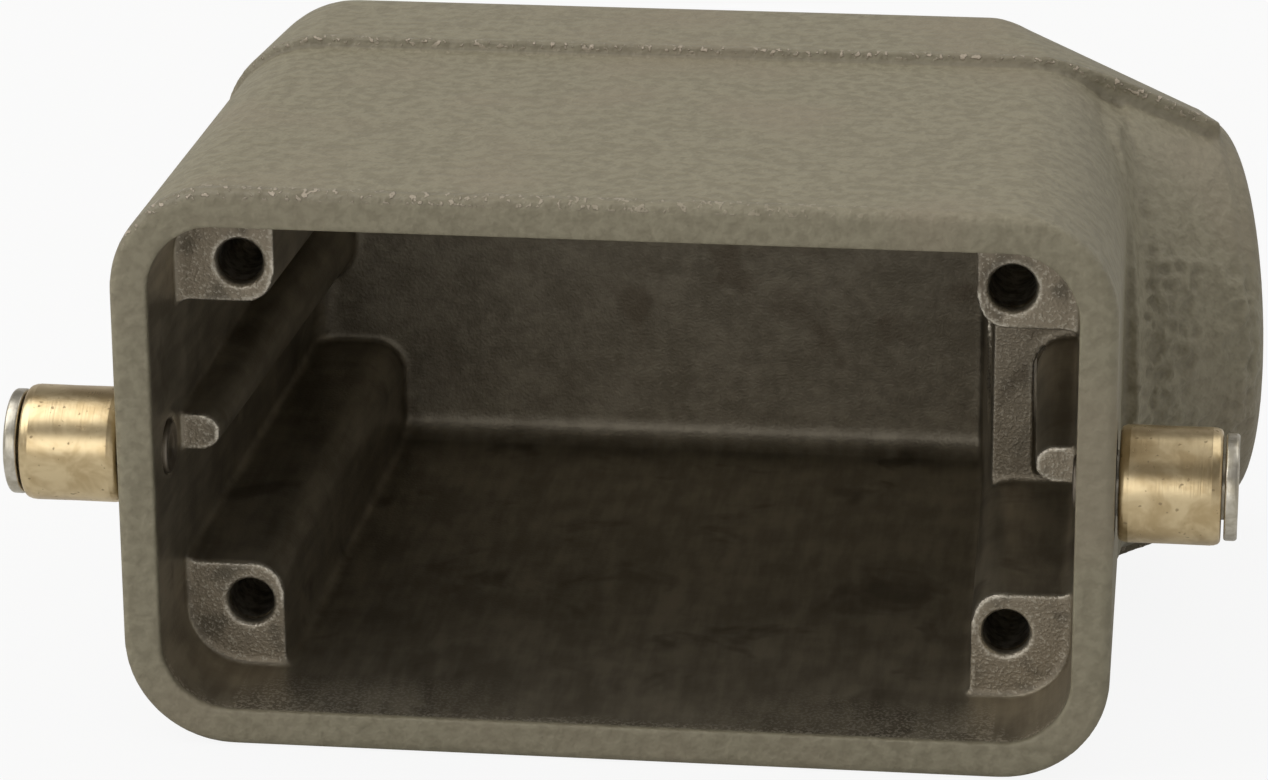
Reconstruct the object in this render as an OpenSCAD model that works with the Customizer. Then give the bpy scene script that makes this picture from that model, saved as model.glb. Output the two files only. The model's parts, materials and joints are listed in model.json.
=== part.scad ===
// Die-cast connector hood with side cable entry and two roller pegs.
// The hood lies on one long wall: +X is the cable entry end, -Y the open mouth,
// +Z goes up across the width. The origin is the middle of the four insert
// screws, on their boss faces. All sizes are in millimetres.

/* [Hood outside] */
// Length of the mouth over the end walls
mouth_l = 73; // [72:0.5:76]
// Width of the mouth over the long walls
mouth_w = 43.4; // [42:0.1:46]
// Radius of the four upright outer corners
corner_r = 8; // [6:0.5:9]
// Depth from the mouth to the screw bosses
mouth_d = 8.4; // [7.5:0.1:10]
// Distance from the screw bosses to the outside of the roof
roof_h = 49.2; // [48:0.2:54]
// Radius of the roof edges
roof_r = 6; // [4:0.5:7]
// Inward slope of the end walls, per millimetre of depth
end_draft = 0.012; // [0.005:0.001:0.02]
// Inward slope of the long walls, per millimetre of depth
long_draft = 0.02; // [0.012:0.001:0.026]
// Rounding of the rim's outer edge
rim_round = 0.6; // [0.2:0.1:1]

/* [Roof cap] */
// Distance from the screw bosses to the step between wall and cap
step_h = 31.8; // [29:0.2:33]
// How far the cap stands proud of the long walls
step_out = 0.8; // [0.4:0.1:1]
// Distance from the middle of the hood to where the cap starts to narrow
cap_x = 31; // [28:0.5:32]

/* [Cable entry collar] */
// Distance from the screw bosses to the middle of the entry face
entry_h = 36.4; // [35:0.1:37]
// Distance from the middle of the hood to the middle of the entry face
entry_x = 43.9; // [43:0.1:47]
// Backward tilt of the entry face, in degrees
entry_tilt = 12.5; // [0:0.5:15]
// Radius of the collar at its face
collar_r = 14.2; // [13:0.1:14.8]
// Rounding of the collar's rim
collar_round = 0.9; // [0.3:0.1:1.5]
// Widening of the collar, per millimetre behind its face
collar_taper = 0.42; // [0.3:0.01:0.5]
// Rounding where the collar meets the end wall
collar_fillet = 2.6; // [1:0.1:3.5]
// Core diameter of the entry thread
entry_d = 18.4; // [15:0.1:19.4]
// Length of the entry thread
entry_thread_l = 11; // [8:0.5:12]
// Diameter of the cable passage behind the thread
passage_d = 16; // [12:0.5:17]

/* [Inside] */
// Wall thickness at the rim
wall = 2.8; // [2.4:0.1:3.4]
// Radius of the inner corners at the rim
inner_r = 5.2; // [4:0.1:6]
// Inward slope of the inside walls, per millimetre of depth
core_draft = 0.033; // [0.025:0.001:0.036]
// Distance from the screw bosses to the inside of the roof
floor_h = 46.6; // [44:0.1:47]
// Rounding between the inside walls and the roof
floor_r = 2; // [1:0.1:3]
// Distance from the screw bosses to the face of the entry block
block_h = 21.6; // [19:0.1:22]
// Distance from the middle of the hood to the entry block's side
block_x = 26; // [25:0.1:27]
// Inward slope of the entry block's side, per millimetre of depth
block_draft = 0.08; // [0.03:0.005:0.1]
// Width of the pocket beside the end wall
pocket_w = 3.4; // [2:0.1:4]
// Height of the pocket's upper end above the middle
pocket_top = 2; // [1:0.1:4]
// Distance from the middle down to the pocket's lower end
pocket_low = 9; // [5:0.1:9.4]
// Depth of the pocket
pocket_depth = 8; // [1:0.5:9]

/* [Screw bosses] */
// Spacing of the insert screws along the hood
screw_l = 57; // [56:0.5:58]
// Spacing of the insert screws across the hood
screw_w = 27; // [26:0.5:28]
// Core diameter of the screw thread
screw_d = 3.4; // [2.6:0.1:3.6]
// Depth of the screw holes
screw_depth = 13; // [8:0.5:20]
// Distance from a screw to its boss's inner side
boss_x = 2.6; // [2.4:0.1:3.2]
// Distance from a screw to its boss's other free side
boss_z = 3.2; // [2.6:0.1:4]
// Rounding of the boss's free edge
boss_r = 2.4; // [1:0.1:2.4]
// Rounding where a boss meets the walls
boss_fillet = 1; // [0.4:0.1:1.4]
// Lean of the bosses' free sides, in degrees
boss_lean = 1.7; // [0.8:0.1:1.8]

/* [Centre ribs] */
// Thickness of a rib at its face
rib_t = 2.8; // [2:0.1:4]
// Reach of a rib's nose from the middle of the hood
rib_x = 30.4; // [29.5:0.1:31.5]
// Widening of a rib to each side, per millimetre of depth
rib_draft = 0.045; // [0.01:0.005:0.06]

/* [Roller pegs] */
// Distance from the screw bosses back to the peg axis
peg_back = 3.2; // [2.8:0.1:3.4]
// Diameter of the pin's bearing length
pin_d = 4.8; // [4.4:0.1:5.4]
// Diameter of the pin's riveted end in the wall
rivet_d = 4; // [3:0.1:4.2]
// How far the riveted end stands out inside
rivet_out = 0.5; // [0.2:0.1:0.8]
// Diameter of the pin's head
head_d = 7.8; // [7:0.1:8.4]
// Thickness of the pin's head
head_t = 1; // [0.8:0.05:1.5]
// Length of the roller sleeve
sleeve_l = 7.4; // [6:0.1:8]
// Outer diameter of the roller sleeve
sleeve_d = 8.6; // [8:0.1:9.5]
// Rounding of the sleeve's ends
sleeve_round = 0.7; // [0.3:0.1:1]
// Radial running clearance of the sleeve on its pin
sleeve_gap = 0.07; // [0.03:0.01:0.1]
// Gap between the left sleeve and the wall
left_gap = 0.25; // [0.2:0.05:0.8]
// Gap between the right sleeve and the wall
right_gap = 0.25; // [0.1:0.05:0.6]
// Gap between a sleeve and the pin's head
head_gap = 0.2; // [0.1:0.05:0.5]

/* [Hidden] */
eps = 0.01;
round_fn = 56;
ball_fn = 32;
mouth_y = -mouth_d;
half_l = mouth_l / 2;
half_w = mouth_w / 2;
peg_y = -peg_back;
// Place of the walls at the step
step_depth = step_h + mouth_d;
step_l = half_l - end_draft * step_depth;
step_w = half_w - long_draft * step_depth;
// Place of the cap's sides at the step and at the roof
cap_w = step_w + step_out;
roof_l = step_l - 0.8;
roof_w = cap_w - long_draft * (roof_h - step_h);
// Half sizes of the inside at the rim and at the roof
core_l = half_l - wall;
core_w = half_w - wall;
floor_depth = floor_h + mouth_d;
back_l = core_l - core_draft * floor_depth;
back_w = core_w - core_draft * floor_depth;
// The end wall's outer and inner faces at the peg
peg_wall = half_l - end_draft * (mouth_d - peg_back);
peg_inner = core_l - core_draft * (mouth_d - peg_back);
// Length of the collar's cone, well into the hood
cone_l = 16;
// Where the collar starts to flare towards the end wall
flare_at = 8.6;

// Disc lying in a plane of equal depth, at one rounded corner
module corner_disc(l, w, r, y) {
    translate([l - r, y, w - r])
        rotate([-90, 0, 0])
            cylinder(r = r, h = eps, $fn = round_fn);
}

// The four corner discs of a rounded rectangle
module ring(l, w, r, y) {
    for (sx = [0, 1])
        for (sz = [0, 1])
            mirror([sx, 0, 0])
                mirror([0, 0, sz])
                    corner_disc(l, w, r, y);
}

// Lower part of the outside, from the rim to the step
module lower_shell() {
    hull() {
        ring(half_l - rim_round, half_w - rim_round, corner_r - rim_round, mouth_y);
        ring(half_l - rim_round * 0.3, half_w - rim_round * 0.3, corner_r - rim_round * 0.3,
             mouth_y + rim_round * 0.3);
        ring(half_l, half_w, corner_r, mouth_y + rim_round);
        ring(step_l, step_w, corner_r, step_h);
    }
}

// Places a child on the entry face, with its +Z along the entry axis outwards
module on_entry() {
    translate([entry_x, entry_h, 0])
        rotate([0, 0, entry_tilt])
            rotate([0, 90, 0])
                children();
}

// One upper corner of the roof: a rounded edge that follows the corner in plan
module roof_corner(l, w, r) {
    inner = max(corner_r - r, 0.5);
    translate([l - inner - r, roof_h - r, w - inner - r])
        rotate([-90, 0, 0])
            rotate_extrude($fn = round_fn)
                polygon(concat(
                    [[0, -0.5], [inner + r, -0.5]],
                    [for (i = [0 : 7]) let (a = 90 * i / 7) [inner + r * cos(a), r * sin(a)]],
                    [[0, r]]
                ));
}

// Cap over the roof, narrowing from the hood's full width to the collar
module cap() {
    intersection() {
        hull() {
            for (sz = [0, 1])
                mirror([0, 0, sz]) {
                    translate([-step_l + corner_r, step_h - 1, cap_w - corner_r])
                        rotate([-90, 0, 0])
                            cylinder(r = corner_r, h = 1, $fn = round_fn);
                    translate([cap_x - 6, step_h - 1, cap_w - 6])
                        rotate([-90, 0, 0])
                            cylinder(r = 6, h = 1, $fn = round_fn);
                    mirror([1, 0, 0])
                        roof_corner(roof_l, roof_w, roof_r);
                    translate([cap_x - roof_r - 1, roof_h - roof_r, roof_w - roof_r])
                        sphere(r = roof_r, $fn = ball_fn);
                }
            on_entry()
                translate([0, 0, -2])
                    cylinder(r = collar_r + step_out, h = 0.5, $fn = 96);
        }
        translate([-60, step_h, -40])
            cube([120, roof_h - step_h, 80]);
    }
}

// Collar: a cone round the entry axis, flared where it meets the end wall
module collar() {
    cone_r = collar_r + collar_taper * flare_at;
    steps = 8;
    profile = concat(
        [[0, 0], [collar_r - collar_round, 0]],
        [for (i = [1 : 4]) let (a = 22.5 * i)
            [collar_r - collar_round + collar_round * sin(a), -collar_round * (1 - cos(a))]],
        [[cone_r, -flare_at]],
        [for (i = [1 : steps]) let (a = 80 * i / steps)
            [cone_r + collar_taper * collar_fillet * sin(a) + collar_fillet * (1 - cos(a)),
             -flare_at - collar_fillet * sin(a)]],
        [[cone_r + 2, -cone_l], [0, -cone_l]]
    );
    limit = step_w - 2;
    reach = entry_x + 8;
    narrow = (reach - cap_x - 2) * collar_taper;
    intersection() {
        on_entry()
            rotate_extrude($fn = 96)
                polygon(profile);
        translate([0, roof_h, 0])
            rotate([90, 0, 0])
                linear_extrude(height = roof_h - mouth_y - 10)
                    polygon([[10, -limit], [cap_x + 2, -limit], [reach, -limit + narrow],
                             [reach, limit - narrow], [cap_x + 2, limit], [10, limit]]);
    }
}

// Plan of one screw boss at its face, with flares where it meets the walls
module boss_plan() {
    x0 = screw_l / 2 - boss_x;
    z0 = screw_w / 2 - boss_z;
    x1 = core_l - core_draft * mouth_d + 0.05;
    z1 = core_w - core_draft * mouth_d + 0.05;
    f = boss_fillet;
    difference() {
        union() {
            translate([x0 + boss_r, z0])
                square([half_l - 1.4 - x0 - boss_r, half_w - 1.2 - z0]);
            translate([x0, z0 + boss_r])
                square([half_l - 1.4 - x0, half_w - 1.2 - z0 - boss_r]);
            translate([x0 + boss_r, z0 + boss_r])
                circle(r = boss_r, $fn = 40);
            translate([x1 - f, z0 - f])
                square([f + 1, f + 1]);
            translate([x0 - f, z1 - f])
                square([f + 1, f + 1]);
        }
        translate([x1 - f, z0 - f])
            circle(r = f, $fn = 32);
        translate([x0 - f, z1 - f])
            circle(r = f, $fn = 32);
    }
}

// One screw boss as a column that leans inwards with depth
module boss() {
    rotate([-boss_lean, 0, boss_lean])
        translate([0, floor_h + 4, 0])
            rotate([90, 0, 0])
                linear_extrude(height = floor_h + 7)
                    boss_plan();
}

// One centre rib with a half-round nose, widening with depth
module rib() {
    grow = rib_draft * floor_h;
    hull() {
        translate([rib_x + rib_t / 2, 0, 0])
            rotate([-90, 0, 0])
                cylinder(d = rib_t, h = eps, $fn = 32);
        translate([half_l - 1.4, 0, 0])
            rotate([-90, 0, 0])
                cylinder(d = rib_t, h = eps, $fn = 32);
        translate([rib_x + rib_t / 2, floor_h + 1, 0])
            rotate([-90, 0, 0])
                cylinder(d = rib_t + 2 * grow, h = eps, $fn = 32);
        translate([half_l - 1.4, floor_h + 1, 0])
            rotate([-90, 0, 0])
                cylinder(d = rib_t + 2 * grow, h = eps, $fn = 32);
    }
}

// Block between the inside and the cable entry
module entry_block() {
    back = floor_h + 2;
    translate([0, 0, -half_w + 1.2])
        linear_extrude(height = mouth_w - 2.4)
            polygon([[block_x, block_h], [half_l - 1.4, block_h], [half_l - 1.4, back],
                     [block_x - block_draft * (back - block_h), back]]);
}

// Pocket in the block beside the end wall
module pocket() {
    x1 = core_l - core_draft * (block_h + mouth_d);
    x0 = x1 - pocket_w;
    r = min(2.2, pocket_w * 0.7);
    translate([0, block_h + pocket_depth, 0])
        rotate([90, 0, 0])
            linear_extrude(height = pocket_depth + 0.5) {
                translate([x0, -pocket_low])
                    square([pocket_w, pocket_low + pocket_top - r]);
                translate([x0 + r, -pocket_low])
                    square([pocket_w - r, pocket_low + pocket_top]);
                translate([x0 + r, pocket_top - r])
                    circle(r = r, $fn = 32);
            }
}

// Space inside the hood, before the bosses, ribs and entry block are left in
module core() {
    hull() {
        ring(core_l + eps, core_w + eps, inner_r, mouth_y - 1);
        ring(core_l, core_w, inner_r, mouth_y);
        for (sx = [0, 1])
            for (sz = [0, 1])
                mirror([sx, 0, 0])
                    mirror([0, 0, sz])
                        translate([back_l - floor_r - 1, floor_h - floor_r, back_w - floor_r - 1])
                            foot_corner();
    }
}

// Rounded corner at the inside of the roof: an upright edge and a rounded foot
module foot_corner() {
    rotate([-90, 0, 0])
        rotate_extrude($fn = round_fn)
            polygon(concat(
                [[0, -1], [floor_r + 1, -1]],
                [for (i = [0 : 6]) let (a = 15 * i) [1 + floor_r * cos(a), floor_r * sin(a)]],
                [[0, floor_r]]
            ));
}

// Everything that stands inside the core space, from the boss faces inwards
module inside_forms() {
    intersection() {
        union() {
            for (sx = [0, 1])
                for (sz = [0, 1])
                    mirror([sx, 0, 0])
                        mirror([0, 0, sz])
                            boss();
            rib();
            mirror([1, 0, 0])
                rib();
            entry_block();
        }
        translate([-60, 0, -40])
            cube([120, floor_h + 20, 80]);
    }
}

// Threaded cable entry and the passage behind it
module entry_bore() {
    on_entry() {
        translate([0, 0, -entry_thread_l])
            cylinder(d = entry_d, h = entry_thread_l + 5, $fn = 96);
        translate([0, 0, -24])
            cylinder(d = passage_d, h = 24, $fn = 96);
    }
}

// One insert screw hole, with a short lead-in
module screw_hole() {
    translate([screw_l / 2, 0, screw_w / 2])
        rotate([-90, 0, 0])
            translate([0, 0, -1])
                cylinder(d = screw_d, h = screw_depth + 1, $fn = 48);
}

// Hood: one casting
module hood() {
    color("#87826f")
        difference() {
            union() {
                lower_shell();
                cap();
                collar();
            }
            difference() {
                core();
                inside_forms();
            }
            entry_bore();
            pocket();
            for (sx = [0, 1])
                for (sz = [0, 1])
                    mirror([sx, 0, 0])
                        mirror([0, 0, sz])
                            screw_hole();
            translate([-half_l - 5, peg_y, 0])
                rotate([0, 90, 0])
                    cylinder(d = rivet_d, h = mouth_l + 10, $fn = 48);
        }
}

// Peg pin standing along +Z from the end wall's outer face, riveted end down
module pin(gap) {
    thick = peg_wall - peg_inner;
    shoulder = 0.06;
    under_head = gap + sleeve_l + head_gap;
    rr = rivet_d / 2;
    hr = head_d / 2;
    c = min(0.25, head_t / 3);
    rotate_extrude($fn = 64)
        polygon([[0, -thick - rivet_out], [rr - 0.3, -thick - rivet_out],
                 [rr, -thick - rivet_out + 0.3], [rr, shoulder], [pin_d / 2, shoulder],
                 [pin_d / 2, under_head], [hr - c, under_head], [hr, under_head + c],
                 [hr, under_head + head_t - c], [hr - c, under_head + head_t],
                 [0, under_head + head_t]]);
}

// Roller sleeve standing along +Z on its pin
module sleeve() {
    bore = pin_d / 2 + sleeve_gap;
    outer = sleeve_d / 2;
    r = sleeve_round;
    rotate_extrude($fn = 96)
        polygon(concat(
            [[bore, 0.25], [bore + 0.25, 0]],
            [for (i = [0 : 4]) let (a = 22.5 * i) [outer - r + r * sin(a), r - r * cos(a)]],
            [for (i = [0 : 4]) let (a = 22.5 * i)
                [outer - r + r * cos(a), sleeve_l - r + r * sin(a)]],
            [[bore + 0.25, sleeve_l], [bore, sleeve_l - 0.25]]
        ));
}

module right_pin() {
    color("#b9b4a8")
        translate([peg_wall, peg_y, 0])
            rotate([0, 90, 0])
                pin(right_gap);
}

module right_sleeve() {
    color("#b39a5e")
        translate([peg_wall + right_gap, peg_y, 0])
            rotate([0, 90, 0])
                sleeve();
}

module left_pin() {
    color("#b9b4a8")
        translate([-peg_wall, peg_y, 0])
            rotate([0, -90, 0])
                pin(left_gap);
}

module left_sleeve() {
    color("#b39a5e")
        translate([-peg_wall - left_gap, peg_y, 0])
            rotate([0, -90, 0])
                sleeve();
}

hood();
left_pin();
left_sleeve();
right_pin();
right_sleeve();
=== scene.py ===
"""Looks of a heavy duty rectangular connector hood: cast skin, threads, roller pegs, floor and light."""

import json
import logging
import math
from dataclasses import dataclass, field
from enum import Enum
from typing import Any, Sequence

import bmesh
import bpy
import numpy as np
from mathutils import Matrix, Vector, noise


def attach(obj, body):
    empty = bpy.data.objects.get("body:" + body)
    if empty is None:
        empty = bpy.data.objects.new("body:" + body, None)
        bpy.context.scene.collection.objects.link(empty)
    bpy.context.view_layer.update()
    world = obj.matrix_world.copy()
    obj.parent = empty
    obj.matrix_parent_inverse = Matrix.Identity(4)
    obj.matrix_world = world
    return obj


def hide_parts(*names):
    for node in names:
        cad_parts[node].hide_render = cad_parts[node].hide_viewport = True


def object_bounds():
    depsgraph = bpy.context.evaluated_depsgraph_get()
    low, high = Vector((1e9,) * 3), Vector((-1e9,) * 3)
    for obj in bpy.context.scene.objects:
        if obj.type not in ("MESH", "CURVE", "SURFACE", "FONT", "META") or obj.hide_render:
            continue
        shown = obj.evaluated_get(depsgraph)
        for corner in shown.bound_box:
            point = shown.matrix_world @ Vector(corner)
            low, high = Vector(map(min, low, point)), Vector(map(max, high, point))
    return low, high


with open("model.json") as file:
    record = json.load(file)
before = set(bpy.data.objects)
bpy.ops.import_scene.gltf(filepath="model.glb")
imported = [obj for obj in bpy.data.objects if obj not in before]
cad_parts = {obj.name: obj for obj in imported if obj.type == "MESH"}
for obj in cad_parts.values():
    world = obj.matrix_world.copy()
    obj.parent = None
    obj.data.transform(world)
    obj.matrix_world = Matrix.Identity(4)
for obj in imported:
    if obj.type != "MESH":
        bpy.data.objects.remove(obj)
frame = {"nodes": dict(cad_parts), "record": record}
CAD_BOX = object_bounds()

logging.basicConfig(level=logging.INFO, format="%(message)s")
log = logging.getLogger("connector_hood")

MM = 0.001
Point = tuple[float, float, float]
Colour = tuple[float, float, float]


# ---------------------------------------------------------------- shader maths


class Sock:
    """A node's output that takes part in Python expressions by adding Math nodes."""

    def __init__(self, tree: "NodeTree", socket: Any) -> None:
        """Keeps the output and the tree it belongs to."""
        self.tree = tree
        self.socket = socket

    def _math(self, operation: str, *values: Any, clamp: bool = False) -> "Sock":
        """Adds one Math node.

        Args:
            operation: The node's operation.
            values: Its inputs, each a number or a Sock.
            clamp: Whether the result is kept between 0 and 1.

        Returns:
            The node's output.
        """
        inputs = dict(enumerate(values))
        return self.tree.node("ShaderNodeMath", {"operation": operation, "use_clamp": clamp}, inputs)

    def __add__(self, other: Any) -> "Sock":
        """Sum."""
        return self._math("ADD", self, other)

    def __radd__(self, other: Any) -> "Sock":
        """Sum with a number on the left."""
        return self._math("ADD", other, self)

    def __sub__(self, other: Any) -> "Sock":
        """Difference."""
        return self._math("SUBTRACT", self, other)

    def __rsub__(self, other: Any) -> "Sock":
        """Difference from a number on the left."""
        return self._math("SUBTRACT", other, self)

    def __mul__(self, other: Any) -> "Sock":
        """Product."""
        return self._math("MULTIPLY", self, other)

    def __rmul__(self, other: Any) -> "Sock":
        """Product with a number on the left."""
        return self._math("MULTIPLY", other, self)

    def clamp(self) -> "Sock":
        """The value kept between 0 and 1."""
        return self._math("ADD", self, 0.0, clamp=True)

    def absolute(self) -> "Sock":
        """The value without its sign."""
        return self._math("ABSOLUTE", self)

    def larger(self, other: Any) -> "Sock":
        """The larger of two values."""
        return self._math("MAXIMUM", self, other)

    def step(self, low: float, high: float) -> "Sock":
        """A smooth step.

        Args:
            low: Where it leaves 0.
            high: Where it reaches 1.

        Returns:
            The stepped value.
        """
        return self.tree.node("ShaderNodeMapRange", {"interpolation_type": "SMOOTHSTEP"},
                              {"Value": self, "From Min": low, "From Max": high})


class NodeTree:
    """A node tree that is filled by one method."""

    def __init__(self, tree: Any) -> None:
        """Empties the tree.

        Args:
            tree: A material's, a world's or a modifier's node tree.
        """
        self.tree = tree
        self.tree.nodes.clear()

    def node(self, kind: str, settings: dict[str, Any], inputs: dict[Any, Any], output: Any = 0) -> Sock:
        """Adds one node.

        Args:
            kind: The node's type.
            settings: Attributes of the node, set before its sockets.
            inputs: Socket name or number to a value or a Sock.
            output: Name or number of the output to return.

        Returns:
            The chosen output, or the node itself as a Sock without a socket when it has none.
        """
        item = self.tree.nodes.new(kind)
        for key, value in settings.items():
            if key == "stops":
                self._stops(item, value)
            else:
                setattr(item, key, value)
        for key, value in inputs.items():
            socket = item.inputs[key]
            if isinstance(value, Sock):
                self.tree.links.new(value.socket, socket)
            else:
                socket.default_value = value
        return Sock(self, item.outputs[output] if len(item.outputs) else None)

    @staticmethod
    def _stops(item: Any, stops: Sequence[tuple[float, Colour]]) -> None:
        """Sets the stops of a colour ramp."""
        ramp = item.color_ramp
        while len(ramp.elements) > 1:
            ramp.elements.remove(ramp.elements[0])
        for i, (position, colour) in enumerate(stops):
            element = ramp.elements[0] if i == 0 else ramp.elements.new(position)
            element.position = position
            element.color = (*colour, 1.0)


class Shader(NodeTree):
    """One procedural material and the nodes that make it."""

    def __init__(self, name: str) -> None:
        """Makes an empty material.

        Args:
            name: The finish it stands for.
        """
        self.material = bpy.data.materials.new(name)
        self.material.use_nodes = True
        super().__init__(self.material.node_tree)
        self.place = self.node("ShaderNodeTexCoord", {}, {}, "Object")

    def noise(self, size: float, detail: float = 2.0, rough: float = 0.5, warp: float = 0.0,
              stretch: Point = (1.0, 1.0, 1.0), shift: float = 0.0) -> Sock:
        """Noise on the object's own coordinates.

        Args:
            size: Size of its cells, in millimetres.
            detail: Octaves.
            rough: Weight of the finer octaves.
            warp: Distortion.
            stretch: Extra scale along each axis.
            shift: Moves the pattern, in cells.

        Returns:
            The noise value, about 0.2 to 0.8.
        """
        scale = tuple(s / (size * MM) for s in stretch)
        where = self.node("ShaderNodeMapping", {}, {"Vector": self.place, "Scale": scale,
                                                    "Location": (shift, shift * 0.7, -shift)})
        return self.node("ShaderNodeTexNoise", {}, {"Vector": where, "Scale": 1.0, "Detail": detail,
                                                    "Roughness": rough, "Distortion": warp})

    def attribute(self, name: str) -> Sock:
        """A mask stored on the mesh."""
        return self.node("ShaderNodeAttribute", {"attribute_name": name}, {}, "Fac")

    def axis(self, which: str) -> Sock:
        """One object coordinate, in millimetres."""
        return self.node("ShaderNodeSeparateXYZ", {}, {"Vector": self.place}, which) * (1.0 / MM)

    def mix(self, factor: Any, a: Any, b: Any) -> Sock:
        """A mix of two colours.

        Args:
            factor: The share of b.
            a: First colour, a tuple or a Sock.
            b: Second colour.

        Returns:
            The mixed colour.
        """
        a = (*a, 1.0) if isinstance(a, tuple) else a
        b = (*b, 1.0) if isinstance(b, tuple) else b
        return self.node("ShaderNodeMix", {"data_type": "RGBA", "clamp_factor": True},
                         {0: factor, 6: a, 7: b}, 2)

    def bump(self, height: Sock, depth: float, strength: float = 1.0) -> Sock:
        """A bump.

        Args:
            height: Height from 0 to 1.
            depth: Full height, in millimetres.
            strength: Share of it that shows.

        Returns:
            The bumped normal.
        """
        return self.node("ShaderNodeBump", {}, {"Height": height, "Distance": depth * MM, "Strength": strength})

    def surface(self, **sockets: Any) -> Sock:
        """A Principled surface.

        Args:
            sockets: Its inputs, spaces in their names written as underscores.

        Returns:
            The surface.
        """
        names = {key.replace("_", " "): value for key, value in sockets.items()}
        return self.node("ShaderNodeBsdfPrincipled", {}, names)

    def finish(self, surface: Sock) -> bpy.types.Material:
        """Adds the output.

        Args:
            surface: What it shows.

        Returns:
            The material.
        """
        self.node("ShaderNodeOutputMaterial", {}, {"Surface": surface})
        return self.material


# ---------------------------------------------------------------- finishes


@dataclass(frozen=True)
class HoodFinish:
    """Textured powder coat outside and bare cast aluminium inside."""

    coat: Colour = (0.278, 0.251, 0.175)
    coat_low: Colour = (0.229, 0.204, 0.139)
    coat_warm: Colour = (0.270, 0.229, 0.162)
    # painted shade: coat colour for concave creases, the groove under the ledge and the ledge's riser
    coat_shade: Colour = (0.150, 0.130, 0.092)
    # painted highlight: pale specks that stand for glints on the rim's and the ledge's edges
    speck_glint: Colour = (0.50, 0.425, 0.335)
    cast: Colour = (0.212, 0.189, 0.146)
    cast_dark: Colour = (0.132, 0.116, 0.088)
    # painted light: a lighter copy of the cast colours for the inside's walls that don't face the mouth
    wall: Colour = (0.470, 0.420, 0.325)
    wall_dark: Colour = (0.290, 0.255, 0.195)
    cast_stain: Colour = (0.085, 0.066, 0.046)
    machined: Colour = (0.33, 0.284, 0.215)
    worn: Colour = (0.70, 0.65, 0.55)

    def _coat(self, s: Shader) -> Sock:
        """Orange-peel powder coat, with painted highlight specks along the rim and the ledge, and painted shade
        in its creases, under the ledge and along those edges.
        """
        band = s.attribute("band")
        lumpy = s.attribute("lumpy")
        hollow = s.attribute("hollow")
        peel = s.noise(0.95, 2.0, 0.55)
        swell = s.noise(2.3, 1.0, 0.5, shift=2.0)
        broad = s.noise(13.0, 1.0, 0.5)
        specks = s.noise(0.42, 1.0, 0.5, stretch=(1.0, 0.6, 1.0), shift=9.0).step(0.57, 0.65)
        colour = s.mix(peel.step(0.36, 0.62), self.coat_low, self.coat)
        colour = s.mix(broad.step(0.45, 0.70) * 0.5, colour, self.coat_warm)
        # Painted shade: darker in concave creases, in the groove under the ledge and along the rim's and the
        # ledge's edges.
        colour = s.mix((hollow * 0.55 + band * 0.30).clamp(), colour, self.coat_shade)
        # Painted highlight: pale specks along the rim's and the ledge's edges stand for glints off the coat's
        # bumps.
        colour = s.mix(band * specks * 0.85, colour, self.speck_glint)
        roughness = 0.50 + 0.16 * peel - 0.12 * band
        height = peel * (1.0 + 0.7 * lumpy) + swell * 0.55 + band * specks * 0.5
        normal = s.bump(height, 0.26, 0.85)
        return s.surface(Base_Color=colour, Roughness=roughness, Metallic=0.0, Normal=normal,
                         Specular_IOR_Level=0.42)

    def _casting(self, s: Shader) -> Sock:
        """Bare die-cast aluminium, dull and stained, with bright corners; walls that don't face the mouth are
        painted lighter and faces toward it darker, as painted light and shade.
        """
        edge = s.attribute("edge")
        boss = s.attribute("boss")
        chipped = s.attribute("lip")
        cloud = s.noise(4.2, 3.0, 0.55)
        drag = s.noise(1.1, 2.0, 0.6, stretch=(1.0, 0.16, 1.0), shift=6.0)
        stain = s.noise(8.0, 3.0, 0.6, warp=0.5, shift=5.0)
        grain = s.noise(0.24, 1.0, 0.6, shift=1.0)
        walls = s.attribute("walls")
        patches = (cloud * 0.7 + drag * 0.5).step(0.42, 0.82)
        # Painted light and shade: walls that don't face the mouth take the lighter copy, faces toward the mouth
        # (back wall, bosses, plate) the darker one.
        colour = s.mix(walls, s.mix(patches, self.cast_dark, self.cast),
                       s.mix(patches, self.wall_dark, self.wall))
        colour = s.mix(boss * 0.9, colour, self.machined)
        colour = s.mix(boss * cloud.step(0.50, 0.64) * 0.7, colour, self.cast_dark)
        colour = s.mix(stain.step(0.56, 0.70) * 0.5, colour, self.cast_stain)
        colour = s.mix(boss * grain.step(0.58, 0.66) * 0.35, colour, self.worn)
        colour = s.mix(edge * (0.35 + 0.65 * grain.step(0.36, 0.56)), colour, self.worn)
        colour = s.mix(chipped * grain.step(0.50, 0.58), colour, self.worn)
        roughness = 0.38 + 0.16 * cloud - 0.12 * edge + 0.10 * boss - 0.04 * walls
        height = cloud * 0.35 + drag * 0.25 + grain * (0.35 + 0.6 * boss)
        normal = s.bump(height, 0.10, 0.7)
        return s.surface(Base_Color=colour, Roughness=roughness, Metallic=0.86, Normal=normal)

    def material(self) -> bpy.types.Material:
        """The hood's material, which reads the masks stored on its skin."""
        s = Shader("hood_coat_and_casting")
        mixed = s.node("ShaderNodeMixShader", {},
                       {0: s.attribute("bare"), 1: self._coat(s), 2: self._casting(s)})
        return s.finish(mixed)


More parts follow.
